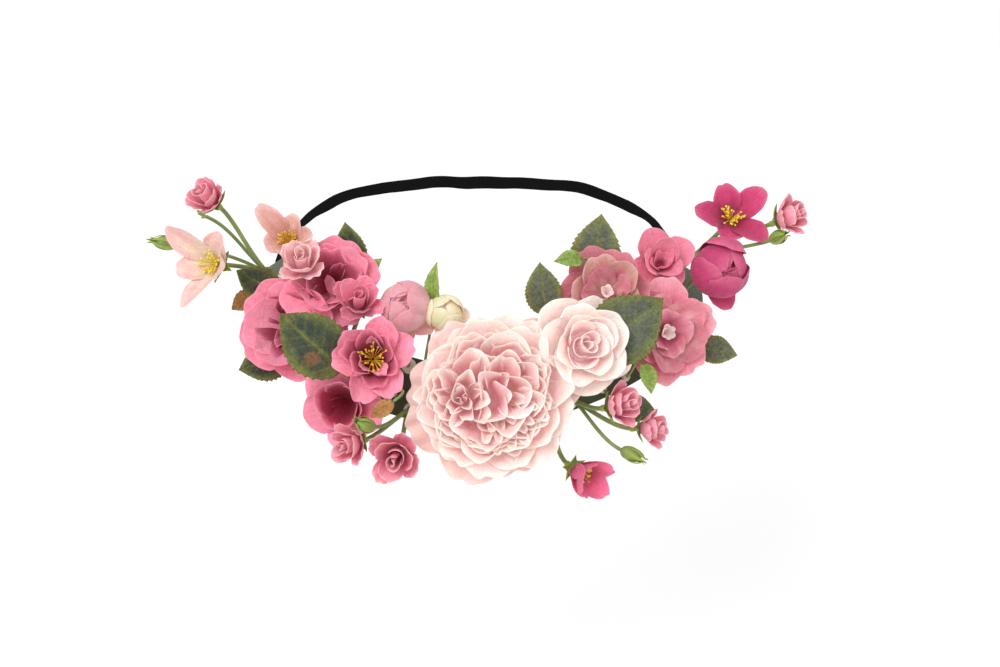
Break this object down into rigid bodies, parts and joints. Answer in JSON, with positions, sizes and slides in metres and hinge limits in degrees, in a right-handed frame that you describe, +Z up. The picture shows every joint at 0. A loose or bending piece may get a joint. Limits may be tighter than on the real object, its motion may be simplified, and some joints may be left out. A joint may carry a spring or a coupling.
{
  "type": "flower crown",
  "caption": "Headband of fabric flowers, leaves and bendable sprays glued to a felt strip, closed into a loop by a flat elastic that stretches around the head.",
  "frame": {"origin": "middle of the head opening, at the height of the middle of the felt strip", "axes": "+Z up when worn, -Y forwards where the big flower is, +X to the right when seen from the front"},
  "size_m": [0.2885, 0.1906, 0.0745],
  "materials": {
    "magenta_petal": "printed polyester petal, soft satin",
    "deep_magenta_petal": "printed polyester petal, soft satin",
    "pink_petal": "printed polyester petal, soft satin",
    "blush_petal": "printed polyester petal, soft satin",
    "cream_petal": "printed polyester petal, soft satin",
    "white_pink_petal": "printed polyester petal, soft satin",
    "stamen": "flocked matte",
    "green_plastic": "moulded, low sheen",
    "green_leaf": "printed linen-look polyester",
    "bright_leaf": "printed linen-look polyester",
    "brown_leaf": "printed linen-look polyester",
    "black_elastic": "woven matte",
    "felt": "needled felt",
    "wire": "paper-wrapped florist wire",
    "thread": "twisted polyester thread",
    "hot_glue": "milky, smooth"
  },
  "bodies": {
    "root": {"blush_bloom_petals": "blush_petal", "blush_bud_petals": "blush_petal", "bright_leaves": "bright_leaf", "brown_leaves": "brown_leaf", "cream_bloom_petals": "cream_petal", "elastic_front_run": "black_elastic", "elastic_side_runs": "black_elastic", "end_stitches": "thread", "felt_base": "felt", "felt_cover": "felt", "flower_stems": "green_plastic", "glue_pads": "hot_glue", "green_leaves_left": "green_leaf", "green_leaves_right": "green_leaf", "leaf_stalks": "green_plastic", "left_cluster_calyces": "green_plastic", "left_cup_bloom_petals": "magenta_petal", "left_stamen_bloom_petals": "magenta_petal", "left_stamen_bloom_stamens": "stamen", "lower_left_bloom_petals": "deep_magenta_petal", "mottled_bloom_petals": "pink_petal", "peony_calyx": "green_plastic", "peony_cup_petals": "blush_petal", "peony_guard_petals": "cream_petal", "peony_heart_petals": "blush_petal", "pink_bloom_petals": "pink_petal", "right_cluster_calyces": "green_plastic", "rose_calyx": "green_plastic", "rose_heart_petals": "blush_petal", "rose_outer_petals": "cream_petal", "round_bloom_petals": "magenta_petal", "shaping_wires": "wire", "side_bloom_petals": "magenta_petal", "top_left_bloom_petals": "magenta_petal", "upper_left_bloom_petals": "magenta_petal"},
    "elastic_back": {"elastic_back_run": "black_elastic"},
    "left_spray": {"left_spray_stem": "green_plastic", "left_spray_calyces": "green_plastic", "left_tip_rosebud_petals": "pink_petal", "left_white_blossom_petals": "white_pink_petal", "left_white_blossom_stamens": "stamen"},
    "left_pink_sprig": {"left_pink_sprig_stem": "green_plastic", "left_pink_sprig_calyces": "green_plastic", "left_pink_blossom_petals": "white_pink_petal", "left_pink_blossom_stamens": "stamen"},
    "right_spray": {"right_spray_stem": "green_plastic", "right_spray_calyces": "green_plastic", "right_tip_rosebud_petals": "pink_petal", "right_open_blossom_petals": "deep_magenta_petal", "right_open_blossom_stamens": "stamen"},
    "lower_right_spray": {"lower_right_spray_stem": "green_plastic", "lower_right_spray_calyces": "green_plastic", "lower_right_spray_rosebud_petals": "magenta_petal"},
    "hanging_sprig": {"hanging_sprig_stem": "green_plastic", "hanging_sprig_calyces": "green_plastic", "hanging_blossom_petals": "deep_magenta_petal", "hanging_blossom_stamens": "stamen"},
    "lower_left_spray": {"lower_left_spray_stem": "green_plastic", "lower_left_spray_calyces": "green_plastic", "lower_left_spray_rosebud_petals": "magenta_petal"}
  },
  "joints": [
    {"name": "elastic_stretch", "type": "slide", "parent": "root", "child": "elastic_back", "axis": [0, 1, 0], "range_m": [0, 0.045], "stiffness_N_per_m": 60, "deforming": ["elastic_side_runs"]},
    {"name": "left_spray_bend", "type": "hinge", "parent": "root", "child": "left_spray", "pos_m": [-0.09023, 0.00163, 0.00401], "axis": [0.7431, 0.0114, 0.6691], "range_deg": [-4, 20]},
    {"name": "left_pink_sprig_bend", "type": "hinge", "parent": "root", "child": "left_pink_sprig", "pos_m": [-0.08381, -0.019, 0.00334], "axis": [-0.5353, 0.8447, 0], "range_deg": [0, 15]},
    {"name": "right_spray_bend", "type": "hinge", "parent": "root", "child": "right_spray", "pos_m": [0.09016, 0.008, 0.00401], "axis": [0.7429, 0.0191, -0.6691], "range_deg": [-4, 20]},
    {"name": "lower_right_spray_bend", "type": "hinge", "parent": "root", "child": "lower_right_spray", "pos_m": [0.041, -0.06523, -0.00468], "axis": [0.9089, 0.417, 0], "range_deg": [0, 15]},
    {"name": "hanging_sprig_bend", "type": "hinge", "parent": "root", "child": "hanging_sprig", "pos_m": [0.03034, -0.06959, -0.00468], "axis": [0.9412, 0.3378, 0], "range_deg": [0, 15]},
    {"name": "lower_left_spray_bend", "type": "hinge", "parent": "root", "child": "lower_left_spray", "pos_m": [-0.02795, -0.07042, -0.00468], "axis": [0.9477, -0.3193, 0], "range_deg": [0, 15]}
  ]
}
